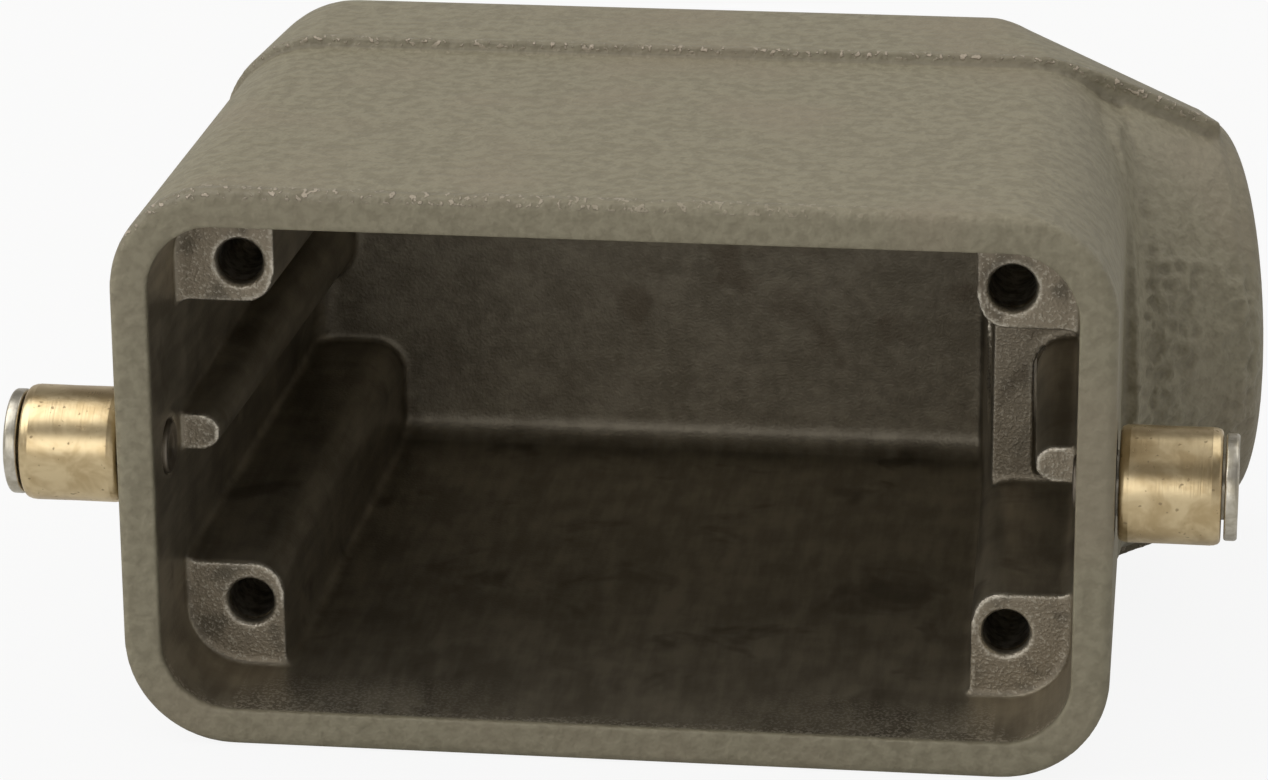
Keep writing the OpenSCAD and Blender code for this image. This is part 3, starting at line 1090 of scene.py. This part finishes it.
@dataclass
class RollerPeg:
    """A riveted pin and the sleeve that turns on it."""

    side: Side
    pin_r: float = 2.4
    head_r: float = 3.9
    head_t: float = 1.0
    rivet_r: float = 2.0
    sleeve_l: float = 7.4
    sleeve_bore: float = 2.47
    sleeve_r: float = 4.3
    gap: float = 0.25
    head_gap: float = 0.2
    wall: float = 2.91
    rivet_out: float = 0.22

    def _start(self) -> tuple[Vector, Vector]:
        """The sleeve's wall end on the peg's axis, and the outward axis."""
        peg = mount(self.side.name.lower() + "_peg")
        axis = Vector(peg["axis"]).normalized()
        return Vector(peg["pos_m"]) - axis * (self.sleeve_l / 2 * MM), axis

    def build(self, brass: bpy.types.Material, nickel: bpy.types.Material) -> list[bpy.types.Object]:
        """Builds the pin and its sleeve.

        Args:
            brass: The sleeve's material.
            nickel: The pin's material.

        Returns:
            The two pieces.
        """
        start, axis = self._start()
        tag = self.side.name.lower()
        outer, length = self.sleeve_r, self.sleeve_l
        sleeve = lathe(tag + "_sleeve_turned", [
            (0.28, self.sleeve_bore), (0.0, self.sleeve_bore + 0.28), (0.0, 3.45),
            *arc((0.42, 3.82), 0.42, 180, 118, 5), (0.34, 4.22), (0.46, 4.27),
            *arc((0.75, outer - 0.12), 0.12, 120, 90, 3), (2.4, outer - 0.008), (length / 2, outer - 0.018),
            (length - 2.4, outer - 0.008), *arc((length - 0.75, outer - 0.12), 0.12, 90, 60, 3),
            (length - 0.46, 4.27), (length - 0.34, 4.22), *arc((length - 0.42, 3.82), 0.42, 62, 0, 5),
            (length, 3.45), (length, self.sleeve_bore + 0.28), (length - 0.28, self.sleeve_bore)],
            start, axis, 128)
        sleeve.data.materials.append(brass)
        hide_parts(tag + "_sleeve")
        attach(sleeve, tag + "_roller")
        head = length + self.head_gap
        inner = -self.gap - self.wall
        pin = lathe(tag + "_pin_turned", [
            (inner - self.rivet_out, 0), (inner - self.rivet_out, 0.7), (inner - self.rivet_out + 0.1, 0.9),
            (inner - self.rivet_out + 0.1, 1.15), (inner - self.rivet_out, 1.35),
            *arc((inner - self.rivet_out + 0.28, 1.7), 0.28, 180, 100, 4), (inner - 0.05, self.rivet_r - 0.01),
            (-self.gap, self.rivet_r - 0.01), (-self.gap + 0.06, self.rivet_r), (-self.gap + 0.06, self.pin_r),
            (head, self.pin_r), *arc((head + 0.2, self.head_r - 0.2), 0.2, 180, 90, 4),
            *arc((head + self.head_t - 0.28, self.head_r - 0.28), 0.28, 90, 20, 5),
            (head + self.head_t - 0.03, 3.2), (head + self.head_t, 1.6), (head + self.head_t, 0)],
            start, axis, 128)
        pin.data.materials.append(nickel)
        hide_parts(tag + "_pin")
        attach(pin, "housing")
        log.info("%s peg: pin and sleeve", tag)
        return [sleeve, pin]


# ---------------------------------------------------------------- studio


@dataclass(frozen=True)
class Lamp:
    """One soft area lamp."""

    name: str
    place: Point
    size: tuple[float, float]
    power: float
    colour: Colour = (1.0, 1.0, 1.0)


@dataclass
class Studio:
    """Camera, lamps, world and floor."""

    sensor: float = 36.0
    lens: float = 145.1625
    shift: tuple[float, float] = (-0.007098, -0.001577)
    yaw: float = -7.13
    pitch: float = 19.94
    roll: float = 0.34
    eye: Point = (45.4, -351.2, 133.2)
    floor_z: float = -21.7
    floor_size: float = 3.0
    floor_gap: float = 0.00002
    aim: Point = (0.0, 0.01, 0.0)
    world: float = 0.40
    sky: tuple[tuple[float, Colour], ...] = (
        (0.0, (0.50, 0.49, 0.48)), (0.50, (0.52, 0.51, 0.50)), (0.66, (0.46, 0.45, 0.44)),
        (0.80, (0.16, 0.155, 0.15)), (0.93, (0.18, 0.175, 0.17)), (1.0, (0.40, 0.39, 0.38)))
    lamps: tuple[Lamp, ...] = (
        Lamp("key", (-0.62, -0.10, 0.80), (0.90, 1.00), 6.1, (1.0, 0.985, 0.955)),
        Lamp("fill", (0.45, 0.35, 0.75), (0.70, 0.70), 1.7, (1.0, 0.985, 0.955)),
        Lamp("front", (-0.25, -1.00, 0.30), (0.60, 0.50), 1.4, (1.0, 0.985, 0.955)),
    )

    def camera(self) -> bpy.types.Object:
        """Makes the camera."""
        yaw, pitch, roll = (math.radians(a) for a in (self.yaw, self.pitch, self.roll))
        forward = Vector((math.sin(yaw) * math.cos(pitch), math.cos(yaw) * math.cos(pitch), -math.sin(pitch)))
        level = Vector((math.cos(yaw), -math.sin(yaw), 0.0))
        plumb = forward.cross(level)
        right = level * math.cos(roll) + plumb * math.sin(roll)
        down = plumb * math.cos(roll) - level * math.sin(roll)
        data = bpy.data.cameras.new("camera")
        data.sensor_width = self.sensor
        data.lens = self.lens
        data.shift_x, data.shift_y = self.shift
        data.clip_start, data.clip_end = 0.01, 20.0
        camera = bpy.data.objects.new("camera", data)
        turn = Matrix((right, -down, -forward)).transposed().to_4x4()
        camera.matrix_world = Matrix.Translation(Vector(self.eye) * MM) @ turn
        bpy.context.scene.collection.objects.link(camera)
        bpy.context.scene.camera = camera
        return camera

    def _floor(self) -> bpy.types.Object:
        """Makes the floor."""
        bm = bmesh.new()
        bmesh.ops.create_grid(bm, x_segments=8, y_segments=8, size=self.floor_size)
        bmesh.ops.translate(bm, verts=bm.verts, vec=(0, 0, self.floor_z * MM - self.floor_gap))
        mesh = bpy.data.meshes.new("floor")
        bm.to_mesh(mesh)
        bm.free()
        floor = new_object("floor", mesh)
        mesh.materials.append(FloorFinish().material())
        return floor

    def _world(self) -> bpy.types.World:
        """Makes the surroundings: white behind the object, and a soft sky for light and mirrors."""
        world = bpy.data.worlds.new("studio")
        world.use_nodes = True
        w = NodeTree(world.node_tree)
        light = w.node("ShaderNodeBackground", {}, {"Color": (1.0, 0.99, 0.97, 1.0), "Strength": self.world})
        white = w.node("ShaderNodeBackground", {}, {"Color": (1.0, 1.0, 1.0, 1.0), "Strength": 1.0})
        direction = w.node("ShaderNodeTexCoord", {}, {}, "Generated")
        height = w.node("ShaderNodeSeparateXYZ", {}, {"Vector": direction}, "Z") * 0.5 + 0.5
        colour = w.node("ShaderNodeValToRGB", {"stops": self.sky}, {"Fac": height})
        mirror = w.node("ShaderNodeBackground", {}, {"Color": colour, "Strength": 1.0})
        seen = w.node("ShaderNodeLightPath", {}, {}, "Is Camera Ray")
        glossy = w.node("ShaderNodeLightPath", {}, {}, "Is Glossy Ray")
        through = w.node("ShaderNodeLightPath", {}, {}, "Is Transmission Ray")
        soft = w.node("ShaderNodeMixShader", {}, {0: glossy, 1: light, 2: mirror})
        w.node("ShaderNodeOutputWorld", {}, {
            "Surface": w.node("ShaderNodeMixShader", {}, {0: seen.larger(through), 1: soft, 2: white})})
        bpy.context.scene.world = world
        return world

    def build(self) -> None:
        """Makes the camera, the floor, the lamps and the surroundings."""
        self.camera()
        self._floor()
        for lamp in self.lamps:
            data = bpy.data.lights.new(lamp.name, "AREA")
            data.shape = "RECTANGLE"
            data.size, data.size_y = lamp.size
            data.energy = lamp.power
            data.color = lamp.colour
            item = bpy.data.objects.new(lamp.name, data)
            item.location = lamp.place
            item.rotation_euler = (Vector(self.aim) - Vector(lamp.place)).to_track_quat("-Z", "Y").to_euler()
            bpy.context.scene.collection.objects.link(item)
        self._world()
        bpy.context.scene.view_settings.view_transform = "Standard"


def main() -> None:
    """Builds every sub-assembly in order and reports its pieces."""
    Studio().build()
    CastHood().build()
    CutThreads().build()
    brass, nickel = BrassFinish().material(), NickelFinish().material()
    for side in Side:
        RollerPeg(side).build(brass, nickel)


if __name__ == "__main__":
    main()
